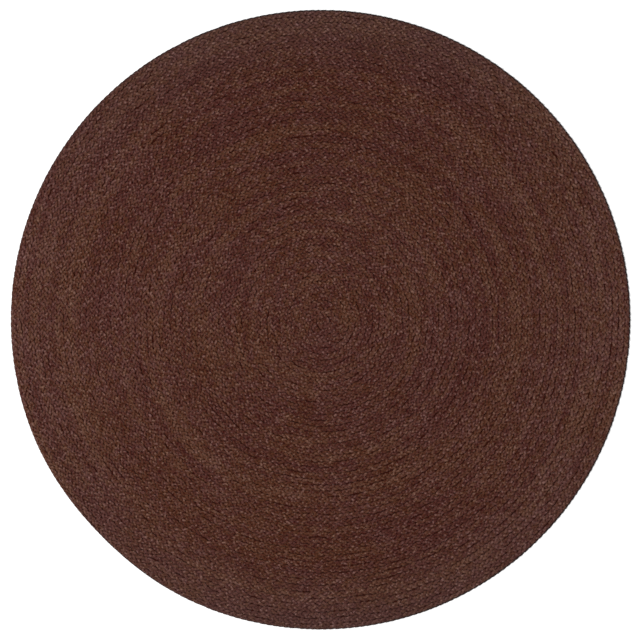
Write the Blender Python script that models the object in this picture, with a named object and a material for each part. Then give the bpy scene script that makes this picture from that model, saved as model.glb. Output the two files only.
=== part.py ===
"""Round jute rug: one flat braid wound outwards from the middle and sewn edge to edge.

Metres, +Z up. The origin is the middle of the underside, on the floor.
The braid shows as a rounded ridge with a seam groove on each side of it. Its own strands
are finer than this solid.
"""
import math

import bmesh
import bpy

# Driving sizes
DIAMETER = 1.83                 # a six-foot round
TURNS = 52                      # laps of the braid from the middle to the rim
THICKNESS = 0.009               # at the top of the braid
GROOVE_DEPTH = 0.003            # seam groove between two laps

# How the coil is laid
START_ANGLE = math.radians(210)  # where each lap begins, and where the braid's end is sewn in
CENTRE_STRETCH = 0.03            # the laps are this much wider in the middle, narrower at the rim
COIL_SHIFT = (0.0045, -0.0083)   # the coil's middle lies this far from the rug's own middle
ROUND_LAPS = 10                  # over the last laps the spiral turns into rings for a round rim

# The rim
RIM_WALL_BOTTOM = 0.0025         # below this the braid's edge turns in towards the floor
RIM_TUCK = 0.0025                # and by this much
DIP_DEPTH = 0.006                # the outline is a little flat where the braid's end is sewn in
DIP_ANGLE = math.radians(225)
DIP_HALF_WIDTH = math.radians(24)

# How finely the coil is cut into faces
STEPS_PER_TURN = 48
TAPER_STEPS = 4                  # the braid's end narrows to nothing over these steps
ACROSS_BRAID = 2                 # two strips: groove to ridge, and ridge to groove
WELD = 0.00005                   # laps meet within this

# Finish
JUTE_COLOUR = (0.078, 0.031, 0.021, 1.0)
JUTE_ROUGHNESS = 0.95
SMOOTH_ANGLE = math.radians(50)

RADIUS = DIAMETER / 2
BRAID_WIDTH = RADIUS / TURNS
TAPER = TAPER_STEPS / STEPS_PER_TURN
LENGTH_STEPS = TURNS * STEPS_PER_TURN + TAPER_STEPS
GROOVE_HEIGHT = THICKNESS - GROOVE_DEPTH


def clear_scene():
    for thing in list(bpy.data.objects):
        bpy.data.objects.remove(thing, do_unlink=True)


def smoothstep(x):
    x = min(max(x, 0.0), 1.0)
    return x * x * (3 - 2 * x)


def laps_out(lap):
    """Braid widths between the middle and the braid's outer edge, lap turns along it.

    The inner laps are a plain spiral. The outer ones are rings that step out by one width
    in a short stretch, so that the last of them makes a round outline.
    """
    whole = math.floor(lap)
    ring = whole + smoothstep((lap - whole) / TAPER)
    roundness = smoothstep((lap - (TURNS - ROUND_LAPS)) / (ROUND_LAPS - 1))
    return lap + (ring - lap) * roundness


def rim_radius(angle):
    """The outline: a circle with one shallow flat."""
    off = math.remainder(angle - DIP_ANGLE, 2 * math.pi) / DIP_HALF_WIDTH
    if abs(off) >= 1:
        return RADIUS
    return RADIUS - DIP_DEPTH * 0.5 * (1 + math.cos(math.pi * off))


def outer_edge(lap):
    """Radius of the braid's outer edge, lap turns along it."""
    if lap <= 0:
        return 0.0
    widths = laps_out(lap)
    radius = BRAID_WIDTH * widths * (1 + CENTRE_STRETCH * (1 - widths / TURNS))
    return min(radius, rim_radius(lap_angle(lap)))


def lap_angle(lap):
    return START_ANGLE + 2 * math.pi * lap


def coil_point(step, side):
    """A point on the braid's face: side 0 is its inner edge, 0.5 its ridge, 1 its outer edge."""
    lap = step / STEPS_PER_TURN
    inner = outer_edge(lap - 1)
    width = outer_edge(lap) - inner
    radius = inner + side * width
    ridge = 1 - abs(2 * side - 1)
    height = GROOVE_HEIGHT + GROOVE_DEPTH * ridge * min(1.0, width / BRAID_WIDTH)
    off_middle = 1 - radius / RADIUS
    angle = lap_angle(lap)
    x = radius * math.cos(angle) + COIL_SHIFT[0] * off_middle
    y = radius * math.sin(angle) + COIL_SHIFT[1] * off_middle
    return (x, y, height)


def wind_coil(bm):
    """Wind a long flat grid into the coil, and weld each lap to the one before."""
    bmesh.ops.create_grid(bm, x_segments=LENGTH_STEPS, y_segments=ACROSS_BRAID, size=0.5)
    for vert in bm.verts:
        step = round((vert.co.x + 0.5) * LENGTH_STEPS)
        side = round((vert.co.y + 0.5) * ACROSS_BRAID) / ACROSS_BRAID
        vert.co = coil_point(step, side)
    bmesh.ops.remove_doubles(bm, verts=bm.verts, dist=WELD)


def open_edges(bm):
    return [edge for edge in bm.edges if edge.is_boundary]


def extrude_rim(bm, radius_change, height):
    """Carry the open rim on to a new radius and height."""
    made = bmesh.ops.extrude_edge_only(bm, edges=open_edges(bm))
    for vert in made["geom"]:
        if isinstance(vert, bmesh.types.BMVert):
            scale = 1 + radius_change / math.hypot(vert.co.x, vert.co.y)
            vert.co = (vert.co.x * scale, vert.co.y * scale, height)


def close_underside(bm):
    extrude_rim(bm, 0.0, RIM_WALL_BOTTOM)
    extrude_rim(bm, -RIM_TUCK, 0.0)
    bmesh.ops.holes_fill(bm, edges=open_edges(bm), sides=0)
    bmesh.ops.recalc_face_normals(bm, faces=bm.faces)


def jute_material():
    material = bpy.data.materials.new("jute")
    material.use_nodes = True
    shader = material.node_tree.nodes["Principled BSDF"]
    shader.inputs["Base Color"].default_value = JUTE_COLOUR
    shader.inputs["Roughness"].default_value = JUTE_ROUGHNESS
    shader.inputs["Metallic"].default_value = 0.0
    return material


def make_rug(collection):
    bm = bmesh.new()
    wind_coil(bm)
    close_underside(bm)
    mesh = bpy.data.meshes.new("braided_rug")
    bm.to_mesh(mesh)
    bm.free()
    mesh.shade_smooth()
    mesh.set_sharp_from_angle(angle=SMOOTH_ANGLE)
    mesh.materials.append(jute_material())
    rug = bpy.data.objects.new("braided_rug", mesh)
    collection.objects.link(rug)


def main():
    clear_scene()
    collection = bpy.data.collections.new("round_jute_rug")
    bpy.context.scene.collection.children.link(collection)
    make_rug(collection)


main()
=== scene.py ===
import math

import bmesh
import bpy
import numpy as np
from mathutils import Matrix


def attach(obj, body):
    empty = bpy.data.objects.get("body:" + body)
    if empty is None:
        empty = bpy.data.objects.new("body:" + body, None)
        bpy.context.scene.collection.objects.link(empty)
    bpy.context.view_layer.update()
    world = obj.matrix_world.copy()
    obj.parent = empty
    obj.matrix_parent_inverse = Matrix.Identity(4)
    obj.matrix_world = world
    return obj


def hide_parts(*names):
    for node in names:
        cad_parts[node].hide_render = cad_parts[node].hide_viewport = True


# A round jute rug: one flat braid of three strands, wound outwards from the middle and sewn
# edge to edge. Metres, +Z up. The origin is the middle of the underside, on the floor.

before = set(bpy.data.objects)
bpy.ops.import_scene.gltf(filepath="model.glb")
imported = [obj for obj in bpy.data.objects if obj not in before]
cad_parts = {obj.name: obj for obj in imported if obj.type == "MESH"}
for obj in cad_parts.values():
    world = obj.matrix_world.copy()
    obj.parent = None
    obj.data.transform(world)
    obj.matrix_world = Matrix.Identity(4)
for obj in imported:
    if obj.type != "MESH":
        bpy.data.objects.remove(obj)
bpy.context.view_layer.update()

# ---------------------------------------------------------------- sizes, in metres
DIAMETER = 1.83
TURNS = 52                        # laps of the braid from the middle to the rim
RADIUS = DIAMETER / 2
BRAID_WIDTH = RADIUS / TURNS

# How the coil is laid
START_ANGLE = math.radians(210)   # where each lap begins, and where the braid's end is sewn in
CENTRE_STRETCH = 0.03             # the laps are this much wider in the middle, narrower at the rim
COIL_SHIFT = (0.0045, -0.0083)    # the coil's middle, from the rug's own middle
ROUND_LAPS = 10                   # over the last laps the spiral turns into rings
TAPER = 1 / 12                    # of a turn: where a ring steps out, and where the braid ends
DIP_DEPTH = 0.006                 # the outline is a little flat where the braid's end is sewn in
DIP_ANGLE = math.radians(225)
DIP_HALF_WIDTH = math.radians(24)

# The braid: three flattened strands. Each swings from side to side once a cycle, passes over
# the others on its way from the middle to an edge, and under them on its way back.
STRANDS = 3
PITCH_BY_RADIUS = (               # radius, and from one loop to the next along an edge there
    (0.09, 0.0136),
    (0.35, 0.0163),
    (0.60, 0.0180),
)
SWING = 0.0061                    # sideways, from the braid's middle to the strand's
PULL_ANGLE = math.radians(306)    # the braid is pulled narrower here, and its seams show more
PULL = 0.00030                    # this much narrower here, and as much wider on the far side
PULL_TWICE = 0.00020              # this much narrower on both sides, and wider halfway between
LIFT = 0.0024                     # up and down
LIFT_LAG = math.radians(5)        # the tops come this much later than halfway to an edge
LIFT_GAIN, LOWEST, HIGHEST = 1.25, -0.85, 1.0  # a strand flattens where it runs over or under
STRAND_HALF_WIDTH = 0.0044
STRAND_HALF_HEIGHT = 0.0019
BRAID_MIDDLE = 0.0043             # height of the braid's middle over the floor

# How finely a strand is cut into faces
RINGS = 10                        # in each cycle
RING_PHASE = 7 / 12               # of a ring's step, so that one ring sits on top of each loop
PROFILE = np.array([              # round the strand: outwards and up, as shares of its half sizes
    (1.00, 0.05),
    (0.55, 0.95),
    (-0.55, 0.95),
    (-1.00, 0.05),
    (0.00, -1.00),
])
SIDES = len(PROFILE)
LENGTHS = ("inner", "outer")      # each strand is two joined lengths

# Unevenness of the hand-laid braid
SEED = 11
KNOT_SPREAD = 0.5                 # of the random values that smooth lines and fields pass through
SPARE_KNOTS = 3                   # so that every line and field reaches past its end
WIDTH_WANDER, WIDTH_RINGS = 0.14, 4      # how much, and from how many rings to the next
SWING_WANDER, SWING_RINGS = 0.45, 5
HEIGHT_WANDER, HEIGHT_RINGS = 0.0005, 5
PITCH_WANDER, PITCH_LENGTH = 0.30, 0.05  # how much, and from one stretch of this length to the next
STRAY, STRAY_LENGTH = 0.0030, 0.035      # the laps stray this far from an even coil
STRAY_FADE = 0.010                # but not at the rim, from this far inside it

# The rim, and the painted shade on its outer side
RIM_MARGIN = 0.0004               # the loops at the rim end this far inside the outline
RIM_PAINTED_SHADE_FULL = 0.0035           # painted shade: their outer side is darkened in full to this far inside the outline
RIM_PAINTED_SHADE_END = 0.0060            # and not darkened from here inwards
RIM_LIT_ANGLE = math.radians(202)        # the painted shade is faint here, where the light falls on the rim's side, and deep on the other sides
RIM_SHARE, RIM_SHARE_SWING = 0.95, 0.90   # how deep the painted shade is on average, and how much that varies round the rim

# A strand's faces laid out flat, in rows that lie side by side in a unit square
ROWS = 56
ROW_FILL = 0.9                    # of a row; the rest is margin
CAP_SIZE, CAP_STEP = 0.0008, 0.002  # the two ends lie in the first margin, this far apart

# The packed fibre between the strands, which shows only as the depth between them, its top coloured
# deeper as painted shade
BODY_STEPS = 144                  # in each lap
BODY_ACROSS = 2                   # two strips: groove to ridge, and ridge to groove
BODY_RIDGE = 0.0040
BODY_GROOVE = 0.0030
BODY_FLOOR = 0.0010
WALL_HEIGHT = 0.0026              # below this only the rim's side is left
BODY_INSET = 0.0010               # from the rim
WELD = 0.00005                    # laps meet within this

# ---------------------------------------------------------------- the photograph's frame
FRAME = 640                       # pixels
RUG_ACROSS = 619.5                # pixels
RUG_CENTRE = (320.5, 319.7)       # pixels, from the top left
CAMERA_HEIGHT = 6.0
SENSOR = 36.0                     # millimetres

# ---------------------------------------------------------------- floor and light
FLOOR_SIZE = 40.0
FLOOR_HEIGHT = -0.0005
KEY_PLACE = (-2.0, -0.3, 5.2)
KEY_SIZE = 2.4
KEY_WATTS = 240.0
WORLD_COLOUR = (1.0, 1.0, 1.0)
WORLD_STRENGTH = 0.80

# ---------------------------------------------------------------- colours, linear
DEEP_WARM = (0.0325, 0.0022, 0.0001)
DEEP_PLUM = (0.0310, 0.0016, 0.0003)
MIDDLE_WARM = (0.0618, 0.0177, 0.0064)
MIDDLE_PLUM = (0.0597, 0.0159, 0.0115)
PALE_WARM = (0.1500, 0.0755, 0.0525)
PALE_PLUM = (0.1465, 0.0715, 0.0625)
# painted shade: the packed fibre's top, seen only in the gaps between the strands, is coloured as
# deep as shade
PACKED_FIBRE_PAINTED_SHADE = (0.028, 0.0025, 0.0002)
WALL_FIBRE = (0.046, 0.020, 0.014)   # the packed fibre's own colour, on the rim's side under the loops
# painted shade: the colour that the rim's outer side is darkened to, as if in shadow
RIM_PAINTED_SHADE = (0.011, 0.005, 0.005)
# painted glare: a pale grey haze towards the rim, as glare from the bright floor around it
RIM_PAINTED_GLARE = (0.20, 0.19, 0.18)
FLOOR_COLOUR = (0.90, 0.90, 0.90)

# How light the yarn is, and how much each thing changes that
MIDDLE_TONE, PALE_TONE = 0.5, 1.2    # the tones of those colours; the deep ones are at 0
MEAN_TONE = 0.541
PETAL_TONE, PETAL_MOST = 0.06, 2.0   # how much the loops differ, and the most, in such steps
FIBRE_TONE = 0.17
FLECK_TONE = 0.91
FLECK_STREAK_TONE = 1.20             # the specks are made of fibres too
CLOUD_TONE = 0.02
CROWN_PAINTED_LIGHT = 0.06                    # painted light and shade: the loops' tops are paler, as lit, and the creases between them deeper, as shaded
CREASE_HEIGHT, CROWN_HEIGHT = 0.0045, 0.0085
SIDES_PAINTED_LIGHT = 0.08                    # painted light: paler to the left and right, where the strands lie across the light from the left, deeper at the top and bottom
BAND_TONE = 0.10                     # bands of other yarn follow the coil
TOWARDS_RIM_START, TOWARDS_RIM_TONE = 0.72, 0.02   # from this radius to the rim the yarn grows paler
GLARE_LEAST, GLARE_MOST = 0.0, 0.065   # painted glare towards the rim: least to the left and right, most at the top and bottom

# How much of the yarn is plum and not warm
PLUM_MEAN = 0.5
PLUM_LARGE, PLUM_FINE = 0.3, 0.5     # more or less in large and in fine patches
PLUM_BAND = 0.5                      # less in a pale band

# Noise, in cells to a metre, and how many finer layers it has
FIBRE_CELLS = (120.0, 20.0, 1.0)     # along the strand, and once round it
FLECK_CELLS, FLECK_DETAIL = 180.0, 0.0
CLOUD_CELLS = 8.0
LARGE_CELLS, FINE_CELLS, PATCH_DETAIL = 4.0, 70.0, 1.0
GRAIN_CELLS = 400.0
BAND_TURN, BAND_STEP = 0.7, 30.0     # bands in a radian, and in a metre across the laps
SOFT_DETAIL, SOFT_ROUGHNESS = 2.0, 0.5
ROUGH_DETAIL, ROUGH_ROUGHNESS = 3.0, 0.6   # of the fibres and the bands
NOISE_LOW, NOISE_HIGH = 0.3, 0.7     # nearly all noise lies between these
FLECK_LOW, FLECK_HIGH = 0.2, 0.8
FLECK_POWER = 3.0                    # most of the yarn is even, with pale and deep specks

# Gloss and bump
STRAND_ROUGHNESS, STRAND_SPECULAR = 0.92, 0.15
PACKED_ROUGHNESS, PACKED_SPECULAR = 0.95, 0.10
FLOOR_ROUGHNESS, FLOOR_SPECULAR = 1.0, 0.0
TWIST_STRETCH = (1.0, 0.022, 1.0)    # a strand's twist runs slantwise round it
TWIST_SCALE, TWIST_UNEVEN, TWIST_SHARE = 40.0, 0.6, 0.6
FIBRE_BUMP, FIBRE_DEPTH = 0.7, 0.0008
GRAIN_BUMP, GRAIN_DEPTH = 0.5, 0.0005

# Sockets of a node that mixes two colours
MIX_SHARE, MIX_FIRST, MIX_SECOND, MIX_RESULT = 0, 6, 7, 2


# ================================================================ the coil

def smoothstep(x):
    x = np.clip(x, 0.0, 1.0)
    return x * x * (3 - 2 * x)


def lap_angle(lap):
    return START_ANGLE + 2 * np.pi * lap


def laps_out(lap):
    """Braid widths between the middle and the braid's outer edge, lap turns along it."""
    whole = np.floor(lap)
    ring = whole + smoothstep((lap - whole) / TAPER)
    roundness = smoothstep((lap - (TURNS - ROUND_LAPS)) / (ROUND_LAPS - 1))
    return lap + (ring - lap) * roundness


def rim_radius(angle):
    """The outline: a circle with one shallow flat."""
    off = (angle - DIP_ANGLE + np.pi) % (2 * np.pi) - np.pi
    off = np.clip(off / DIP_HALF_WIDTH, -1, 1)
    return RADIUS - DIP_DEPTH * 0.5 * (1 + np.cos(np.pi * off))


def outer_edge(lap):
    """Radius of the braid's outer edge, lap turns along it."""
    widths = laps_out(np.maximum(lap, 0.0))
    radius = BRAID_WIDTH * widths * (1 + CENTRE_STRETCH * (1 - widths / TURNS))
    return np.minimum(radius, rim_radius(lap_angle(lap)))


def on_coil(radius, lap, height):
    """Points at a radius, lap turns along the coil, whose middle lies off the rug's own."""
    angle = lap_angle(lap)
    off_middle = 1 - radius / RADIUS
    x = radius * np.cos(angle) + COIL_SHIFT[0] * off_middle
    y = radius * np.sin(angle) + COIL_SHIFT[1] * off_middle
    return np.stack([x, y, height], axis=1)


def stray(x, y):
    """How far outwards the laps stray at these places: a smooth random field over the rug."""
    rng = np.random.default_rng(SEED)
    cells = int(DIAMETER / STRAY_LENGTH) + SPARE_KNOTS
    knots = rng.normal(0.0, KNOT_SPREAD, (cells, cells))
    u = np.maximum(x + RADIUS, 0.0) / STRAY_LENGTH
    v = np.maximum(y + RADIUS, 0.0) / STRAY_LENGTH
    i, j = u.astype(int), v.astype(int)
    across, up = smoothstep(u - i), smoothstep(v - j)
    low = knots[i, j] * (1 - across) + knots[i + 1, j] * across
    high = knots[i, j + 1] * (1 - across) + knots[i + 1, j + 1] * across
    return STRAY * (low * (1 - up) + high * up)


def strayed(radius, lap):
    """The radius once the laps stray from an even coil, as they do everywhere but at the rim."""
    x, y, _ = on_coil(radius, lap, np.zeros(len(lap))).T
    return radius + stray(x, y) * smoothstep((RADIUS - radius) / STRAY_FADE)


def wander(rng, places, end, spacing):
    """A smooth random line at places from 0 to end, uneven from one spacing to the next.

    It runs from -1 to 1 or so.
    """
    knots = rng.normal(0.0, KNOT_SPREAD, int(end / spacing) + SPARE_KNOTS)
    return np.interp(places / spacing, np.arange(len(knots)), knots)


class Braid:
    """Where the braid runs: its laps, middle line, width and cycles, in small steps."""

    STEPS_PER_LAP = 720

    def __init__(self):
        rng = np.random.default_rng(SEED)
        last = TURNS + TAPER
        self.lap = np.linspace(0, last, int(last * self.STEPS_PER_LAP) + 1)
        inner, outer = outer_edge(self.lap - 1), outer_edge(self.lap)
        self.middle = (inner + outer) / 2
        self.width = outer - inner
        step = 2 * np.pi * self.middle * (self.lap[1] - self.lap[0])
        radii, pitches = np.array(PITCH_BY_RADIUS).T
        pitch = np.interp(self.middle, radii, pitches)
        length = np.cumsum(step)
        uneven = wander(rng, length, length[-1], PITCH_LENGTH)
        pitch = pitch * (1 + PITCH_WANDER * uneven)
        self.cycle = np.cumsum(step / (STRANDS * pitch))
        self.cycle -= self.cycle[0]

    def at(self, cycle):
        """Lap, middle radius and width at these cycles."""
        return [np.interp(cycle, self.cycle, line) for line in (self.lap, self.middle, self.width)]


# ================================================================ the strands

def strand_line(braid, strand, rng):
    """A strand's middle line, its half width, and its phase, ring by ring."""
    count = int(braid.cycle[-1] * RINGS)
    ring = np.arange(count)
    first = (RING_PHASE - RINGS * strand / STRANDS) % 1
    cycle = (ring + first) / RINGS
    phase = 2 * np.pi * (cycle + strand / STRANDS)
    lap, middle, width = braid.at(cycle)
    share = width / BRAID_WIDTH
    off = lap_angle(lap) - PULL_ANGLE
    reach = SWING - PULL * np.cos(off) - PULL_TWICE * np.cos(2 * off)
    uneven = 1 + SWING_WANDER * wander(rng, ring, count, SWING_RINGS)
    swing = reach * share * np.sin(phase) * uneven
    lift = LIFT * np.clip(LIFT_GAIN * np.sin(2 * phase - LIFT_LAG), LOWEST, HIGHEST)
    lift = lift + HEIGHT_WANDER * wander(rng, ring, count, HEIGHT_RINGS)
    uneven = 1 + WIDTH_WANDER * wander(rng, ring, count, WIDTH_RINGS)
    half_width = STRAND_HALF_WIDTH * share * uneven
    rim = rim_radius(lap_angle(lap)) - RIM_MARGIN - half_width
    radius = np.minimum(strayed(middle + swing, lap), rim)
    height = np.maximum(BRAID_MIDDLE + lift, STRAND_HALF_HEIGHT)
    return on_coil(radius, lap, height), half_width, phase


def strand_surface(line, half_width):
    """Rings of points round the line, SIDES to a ring."""
    along = np.gradient(line, axis=0)
    along /= np.linalg.norm(along, axis=1)[:, None]
    outwards = np.cross(along, (0.0, 0.0, 1.0))
    outwards /= np.linalg.norm(outwards, axis=1)[:, None]
    up = np.cross(outwards, along)
    side = outwards[:, None, :] * (half_width[:, None] * PROFILE[:, 0])[:, :, None]
    rise = up[:, None, :] * (STRAND_HALF_HEIGHT * PROFILE[:, 1])[None, :, None]
    return line[:, None, :] + side + rise


def quad_grid(rings):
    """The ring and the side at which each face of a strand starts."""
    return np.meshgrid(np.arange(rings - 1), np.arange(SIDES), indexing="ij")


def tube_faces(rings):
    """Quads between rings, and a cap on each end."""
    ring, side = quad_grid(rings)
    after = (side + 1) % SIDES
    quads = np.stack(
        [ring * SIDES + side, (ring + 1) * SIDES + side,
         (ring + 1) * SIDES + after, ring * SIDES + after], axis=-1)
    last = (rings - 1) * SIDES
    caps = [list(range(SIDES)), list(range(last + SIDES - 1, last - 1, -1))]
    return quads.reshape(-1, 4).tolist() + caps


def add_yarn_map(mesh, rings, along):
    """Metres along the strand, and the share of the way round it."""
    ring, side = quad_grid(rings)
    start, end = along[ring], along[ring + 1]
    u = np.stack([start, end, end, start], axis=-1)
    v = np.stack([side, side, side + 1, side + 1], axis=-1) / SIDES
    fill_map(mesh, "Yarn", u, v)


def add_bake_map(mesh, rings):
    """The strand's faces in rows, each row a stretch of the strand."""
    per_row = math.ceil((rings - 1) / ROWS)
    ring, side = quad_grid(rings)
    row, place = ring // per_row, ring % per_row
    u = np.stack([place, place + 1, place + 1, place], axis=-1) / per_row
    v = np.stack([side, side, side + 1, side + 1], axis=-1) / SIDES
    v = (row[:, :, None] + (1 - ROW_FILL) / 2 + v * ROW_FILL) / ROWS
    fill_map(mesh, "OFBake", u, v)


def fill_map(mesh, name, u, v):
    """Set a map from the quads' corners, and the two ends as small patches at its start."""
    flat = np.stack([u, v], axis=-1).reshape(-1, 2)
    turns = 2 * np.pi * np.arange(SIDES) / SIDES
    cap = (0.5 + 0.5 * np.stack([np.cos(turns), np.sin(turns)], axis=-1)) * CAP_SIZE
    flat = np.concatenate([flat, cap, cap + (CAP_STEP, 0.0)])
    layer = mesh.uv_layers.new(name=name, do_init=False)
    layer.uv.foreach_set("vector", flat.astype(np.float32).ravel())


def petal_shade(phase, rng):
    """One random tone for each visible loop of the strand, round 0."""
    petal = np.floor(phase / np.pi).astype(int)
    petal -= petal.min()
    tones = rng.normal(0, 1, petal.max() + 1)
    return np.clip(tones, -PETAL_MOST, PETAL_MOST)[petal]


def painted_rim_shade(points):
    """Painted shade: up to 1 on the outer side of the loops at the rim, least where the light falls
    on it, and 0 on all else.
    """
    radius = np.hypot(points[:, 0], points[:, 1])
    angle = np.arctan2(points[:, 1], points[:, 0])
    inside = rim_radius(angle) - radius
    share = np.clip(RIM_SHARE - RIM_SHARE_SWING * np.cos(angle - RIM_LIT_ANGLE), 0.0, 1.0)
    return share * smoothstep((RIM_PAINTED_SHADE_END - inside) / (RIM_PAINTED_SHADE_END - RIM_PAINTED_SHADE_FULL))


def add_values(mesh, name, values):
    layer = mesh.attributes.new(name, "FLOAT", "POINT")
    layer.data.foreach_set("value", values.astype(np.float32))


def add_piece(name, mesh, material):
    mesh.materials.append(material)
    piece = bpy.data.objects.new(name, mesh)
    bpy.context.scene.collection.objects.link(piece)
    return piece


def make_length(name, rings, along, shade, material):
    """One length of a strand, from its rings, their place along it and their tones."""
    count = len(rings)
    points = rings.reshape(-1, 3)
    mesh = bpy.data.meshes.new(name)
    mesh.from_pydata(points.tolist(), [], tube_faces(count))
    mesh.shade_smooth()
    add_bake_map(mesh, count)
    add_yarn_map(mesh, count, along)
    add_values(mesh, "tone", np.repeat(shade, SIDES))
    # the rim's painted shade, kept for each point
    add_values(mesh, "rim", painted_rim_shade(points))
    return add_piece(name, mesh, material)


def make_strands(braid, material):
    pieces = []
    for strand in range(STRANDS):
        rng = np.random.default_rng(SEED + 1 + strand)
        line, half_width, phase = strand_line(braid, strand, rng)
        shade = petal_shade(phase, rng)
        rings = strand_surface(line, half_width)
        along = np.concatenate([[0], np.cumsum(np.linalg.norm(np.diff(line, axis=0), axis=1))])
        joins = np.linspace(0, len(line) - 1, len(LENGTHS) + 1).astype(int)
        for length, start, end in zip(LENGTHS, joins[:-1], joins[1:]):
            name = f"braid_strand_{strand + 1}_{length}"
            span = slice(start, end + 1)
            pieces.append(make_length(name, rings[span], along[span], shade[span], material))
    return pieces


# ================================================================ the packed fibre

def wind_body(bm):
    """Wind a long flat grid into the strands' coil, lower and a little inside them."""
    steps = int((TURNS + TAPER) * BODY_STEPS)
    bmesh.ops.create_grid(bm, x_segments=steps, y_segments=BODY_ACROSS, size=0.5)
    places = np.array([vert.co for vert in bm.verts])
    lap = np.round((places[:, 0] + 0.5) * steps) / BODY_STEPS
    side = np.round((places[:, 1] + 0.5) * BODY_ACROSS) / BODY_ACROSS
    inner, outer = outer_edge(lap - 1), outer_edge(lap)
    radius = strayed(inner + side * (outer - inner), lap) * (1 - BODY_INSET / RADIUS)
    ridge = (1 - np.abs(2 * side - 1)) * np.minimum(1, (outer - inner) / BRAID_WIDTH)
    points = on_coil(radius, lap, BODY_GROOVE + (BODY_RIDGE - BODY_GROOVE) * ridge)
    for vert, point in zip(bm.verts, points):
        vert.co = point
    bmesh.ops.remove_doubles(bm, verts=bm.verts, dist=WELD)


def open_edges(bm):
    return [edge for edge in bm.edges if edge.is_boundary]


def close_body(bm):
    """Carry the rim down, and close the underside."""
    made = bmesh.ops.extrude_edge_only(bm, edges=open_edges(bm))
    for vert in made["geom"]:
        if isinstance(vert, bmesh.types.BMVert):
            vert.co.z = BODY_FLOOR
    bmesh.ops.holes_fill(bm, edges=open_edges(bm), sides=0)
    bmesh.ops.recalc_face_normals(bm, faces=bm.faces)


def make_body(material):
    bm = bmesh.new()
    wind_body(bm)
    close_body(bm)
    mesh = bpy.data.meshes.new("braid_body")
    bm.to_mesh(mesh)
    bm.free()
    return add_piece("braid_body", mesh, material)


# ================================================================ materials

def opaque(colour):
    """A colour's three numbers with full alpha, or the socket that gives a colour."""
    return (*colour, 1.0) if isinstance(colour, tuple) else colour


class Nodes:
    """A material's node tree, built a node at a time."""

    def __init__(self, name):
        self.material = bpy.data.materials.new(name)
        self.material.use_nodes = True
        self.tree = self.material.node_tree
        self.shader = self.tree.nodes["Principled BSDF"]

    def add(self, kind, inputs=None, **settings):
        made = self.tree.nodes.new(kind)
        for key, value in settings.items():
            setattr(made, key, value)
        for key, value in (inputs or {}).items():
            self.feed(made.inputs[key], value)
        return made

    def feed(self, socket, value):
        if isinstance(value, bpy.types.NodeSocket):
            self.tree.links.new(value, socket)
        else:
            socket.default_value = value

    def math(self, operation, *values):
        made = self.add("ShaderNodeMath", operation=operation)
        for socket, value in zip(made.inputs, values):
            self.feed(socket, value)
        return made.outputs[0]

    def place(self):
        """The place on the rug, in metres."""
        return self.add("ShaderNodeTexCoord").outputs["Object"]

    def split(self, vector):
        return self.add("ShaderNodeSeparateXYZ", {"Vector": vector}).outputs

    def value(self, name):
        """A value that the mesh holds for each of its points."""
        return self.add("ShaderNodeAttribute", attribute_name=name).outputs["Fac"]

    def scaled(self, vector, scale):
        return self.add("ShaderNodeMapping", {"Vector": vector, "Scale": scale}).outputs["Vector"]

    def noise(self, vector, scale, detail=SOFT_DETAIL, roughness=SOFT_ROUGHNESS):
        made = self.add("ShaderNodeTexNoise", {"Vector": vector, "Scale": scale, "Detail": detail,
                                               "Roughness": roughness})
        return made.outputs["Fac"]

    def ramp(self, value, low, high, to_low=0.0, to_high=1.0):
        made = self.add("ShaderNodeMapRange", {"Value": value, "From Min": low, "From Max": high,
                                               "To Min": to_low, "To Max": to_high})
        return made.outputs["Result"]

    def round_zero(self, noise, reach=1.0):
        """Noise as a value from -reach to reach."""
        return self.ramp(noise, NOISE_LOW, NOISE_HIGH, -reach, reach)

    def mix(self, share, first, second):
        made = self.add("ShaderNodeMix", data_type="RGBA")
        self.feed(made.inputs[MIX_SHARE], share)
        self.feed(made.inputs[MIX_FIRST], opaque(first))
        self.feed(made.inputs[MIX_SECOND], opaque(second))
        return made.outputs[MIX_RESULT]

    def finish(self, colour, roughness, specular):
        self.feed(self.shader.inputs["Base Color"], opaque(colour))
        self.shader.inputs["Roughness"].default_value = roughness
        self.shader.inputs["Specular IOR Level"].default_value = specular

    def bump(self, height, strength, depth):
        made = self.add("ShaderNodeBump", {"Height": height, "Strength": strength,
                                           "Distance": depth})
        self.feed(self.shader.inputs["Normal"], made.outputs["Normal"])


def band_noise(n, xyz, radius):
    """Bands that follow the coil: long round it, narrow across it."""
    turned = n.add("ShaderNodeCombineXYZ", {
        "X": n.math("MULTIPLY", n.math("DIVIDE", xyz["X"], radius), BAND_TURN),
        "Y": n.math("MULTIPLY", n.math("DIVIDE", xyz["Y"], radius), BAND_TURN),
        "Z": n.math("MULTIPLY", radius, BAND_STEP)}).outputs["Vector"]
    return n.round_zero(n.noise(turned, 1.0, ROUGH_DETAIL, ROUGH_ROUGHNESS))


def left_and_right(n, xyz):
    """At the rim 1 to the left and right, and -1 at the top and bottom."""
    squares = n.math("SUBTRACT", n.math("POWER", xyz["X"], 2.0), n.math("POWER", xyz["Y"], 2.0))
    return n.math("MULTIPLY", squares, 1 / RADIUS ** 2)


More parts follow.
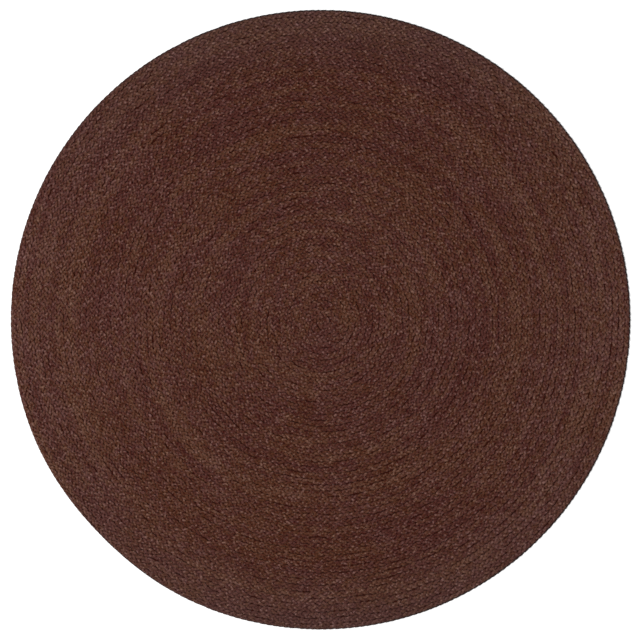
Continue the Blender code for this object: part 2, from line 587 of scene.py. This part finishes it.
def yarn_tone(n, place, height, fibres, bands, sides, towards_rim):
    """How light the yarn is: the mean, and what each thing adds to it, up or down, painted light
    and shade among them.
    """
    flecks = n.ramp(n.noise(place, FLECK_CELLS, FLECK_DETAIL), FLECK_LOW, FLECK_HIGH, -1.0, 1.0)
    flecks = n.math("POWER", flecks, FLECK_POWER)
    streaks = n.math("ADD", FLECK_TONE, n.math("MULTIPLY", fibres, FLECK_STREAK_TONE))
    clouds = n.round_zero(n.noise(place, CLOUD_CELLS))
    # painted light and shade, by height: paler on the loops' tops, deeper in the creases
    crown = n.ramp(height, CREASE_HEIGHT, CROWN_HEIGHT, -1.0, 1.0)
    changes = (
        (n.value("tone"), PETAL_TONE),
        (fibres, FIBRE_TONE),
        (flecks, streaks),
        (clouds, CLOUD_TONE),
        (bands, BAND_TONE),
        (crown, CROWN_PAINTED_LIGHT),
        (sides, SIDES_PAINTED_LIGHT),
        (towards_rim, TOWARDS_RIM_TONE),
    )
    light = MEAN_TONE
    for change, strength in changes:
        light = n.math("ADD", light, n.math("MULTIPLY", change, strength))
    return light


def plum_share(n, place, bands):
    """How much of the yarn's colour is plum and not warm."""
    large = n.round_zero(n.noise(place, LARGE_CELLS, PATCH_DETAIL), PLUM_LARGE)
    fine = n.round_zero(n.noise(place, FINE_CELLS, PATCH_DETAIL), PLUM_FINE)
    share = n.math("ADD", n.math("ADD", PLUM_MEAN, fine), large)
    return n.math("SUBTRACT", share, n.math("MULTIPLY", bands, PLUM_BAND))


def dye(n, light, plum):
    """The dye's colour, from deep to pale, and from warm to plum."""
    deep = n.mix(plum, DEEP_WARM, DEEP_PLUM)
    middle = n.mix(plum, MIDDLE_WARM, MIDDLE_PLUM)
    pale = n.mix(plum, PALE_WARM, PALE_PLUM)
    lower = n.mix(n.ramp(light, 0.0, MIDDLE_TONE), deep, middle)
    return n.mix(n.ramp(light, MIDDLE_TONE, PALE_TONE), lower, pale)


def twist_height(n, yarn):
    """The ridges of a strand's twist."""
    twist = n.add("ShaderNodeTexWave", {"Vector": n.scaled(yarn, TWIST_STRETCH),
                                        "Scale": TWIST_SCALE, "Distortion": TWIST_UNEVEN},
                  bands_direction="DIAGONAL")
    return n.math("MULTIPLY", twist.outputs["Fac"], TWIST_SHARE)


def jute_strand_material():
    n = Nodes("dyed_jute_strand")
    place = n.place()
    xyz = n.split(place)
    radius = n.add("ShaderNodeVectorMath", {0: place}, operation="LENGTH").outputs["Value"]
    yarn = n.add("ShaderNodeUVMap", uv_map="Yarn").outputs["UV"]

    fibres = n.noise(n.scaled(yarn, FIBRE_CELLS), 1.0, ROUGH_DETAIL, ROUGH_ROUGHNESS)
    fibres = n.round_zero(fibres)
    bands = band_noise(n, xyz, radius)
    sides = left_and_right(n, xyz)
    towards_rim = n.ramp(radius, TOWARDS_RIM_START, RADIUS)
    light = yarn_tone(n, place, xyz["Z"], fibres, bands, sides, towards_rim)
    colour = dye(n, light, plum_share(n, place, bands))
    # painted glare: towards the rim the colour turns a little grey, as glare from the bright floor
    glare = n.math("MULTIPLY", towards_rim, n.ramp(sides, -1.0, 1.0, GLARE_MOST, GLARE_LEAST))
    colour = n.mix(glare, colour, RIM_PAINTED_GLARE)
    # painted shade: the rim's outer side darkened, deepest away from the light
    colour = n.mix(n.value("rim"), colour, RIM_PAINTED_SHADE)

    n.finish(colour, STRAND_ROUGHNESS, STRAND_SPECULAR)
    n.bump(n.math("ADD", twist_height(n, yarn), fibres), FIBRE_BUMP, FIBRE_DEPTH)
    return n.material


def packed_fibre_material():
    n = Nodes("packed_jute_fibre_and_painted_shade")
    place = n.place()
    grain = n.noise(place, GRAIN_CELLS)
    # painted shade on the top, which shows only between the strands; the rim's side keeps the
    # fibre's own colour
    wall = n.ramp(n.split(place)["Z"], WALL_HEIGHT, BODY_GROOVE)
    colour = n.mix(wall, WALL_FIBRE, PACKED_FIBRE_PAINTED_SHADE)
    n.finish(n.mix(grain, colour, PACKED_FIBRE_PAINTED_SHADE), PACKED_ROUGHNESS, PACKED_SPECULAR)
    n.bump(grain, GRAIN_BUMP, GRAIN_DEPTH)
    return n.material


def floor_material():
    n = Nodes("pale_floor")
    n.finish(FLOOR_COLOUR, FLOOR_ROUGHNESS, FLOOR_SPECULAR)
    return n.material


# ================================================================ floor, light and camera

def make_floor():
    bpy.ops.mesh.primitive_plane_add(size=FLOOR_SIZE, location=(0.0, 0.0, FLOOR_HEIGHT))
    floor = bpy.context.object
    floor.name = "floor"
    floor.data.materials.append(floor_material())
    return floor


def make_key_light():
    """A round soft light that points at the middle of the rug."""
    data = bpy.data.lights.new("key", "AREA")
    data.shape = "DISK"
    data.size = KEY_SIZE
    data.energy = KEY_WATTS
    light = bpy.data.objects.new("key", data)
    light.location = KEY_PLACE
    aim = -light.location
    light.rotation_euler = aim.to_track_quat("-Z", "Y").to_euler()
    bpy.context.scene.collection.objects.link(light)


def make_world():
    world = bpy.data.worlds.new("studio")
    world.use_nodes = True
    back = world.node_tree.nodes["Background"]
    back.inputs["Color"].default_value = opaque(WORLD_COLOUR)
    back.inputs["Strength"].default_value = WORLD_STRENGTH
    bpy.context.scene.world = world


def make_camera():
    """Straight down, with the rug where the photograph has it."""
    pixel = DIAMETER / RUG_ACROSS
    view_width = FRAME * pixel
    data = bpy.data.cameras.new("camera")
    data.sensor_width = SENSOR
    data.lens = SENSOR * CAMERA_HEIGHT / view_width
    camera = bpy.data.objects.new("camera", data)
    off_x = (FRAME / 2 - RUG_CENTRE[0]) * pixel
    off_y = (RUG_CENTRE[1] - FRAME / 2) * pixel
    camera.location = (off_x, off_y, CAMERA_HEIGHT)
    bpy.context.scene.collection.objects.link(camera)
    bpy.context.scene.camera = camera


# ================================================================ the scene

make_camera()
floor = make_floor()
make_world()
make_key_light()

strands = make_strands(Braid(), jute_strand_material())
body = make_body(packed_fibre_material())

for piece in [body, *strands]:
    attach(piece, "root")
    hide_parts("braided_rug")

bpy.context.scene.view_settings.view_transform = "Standard"
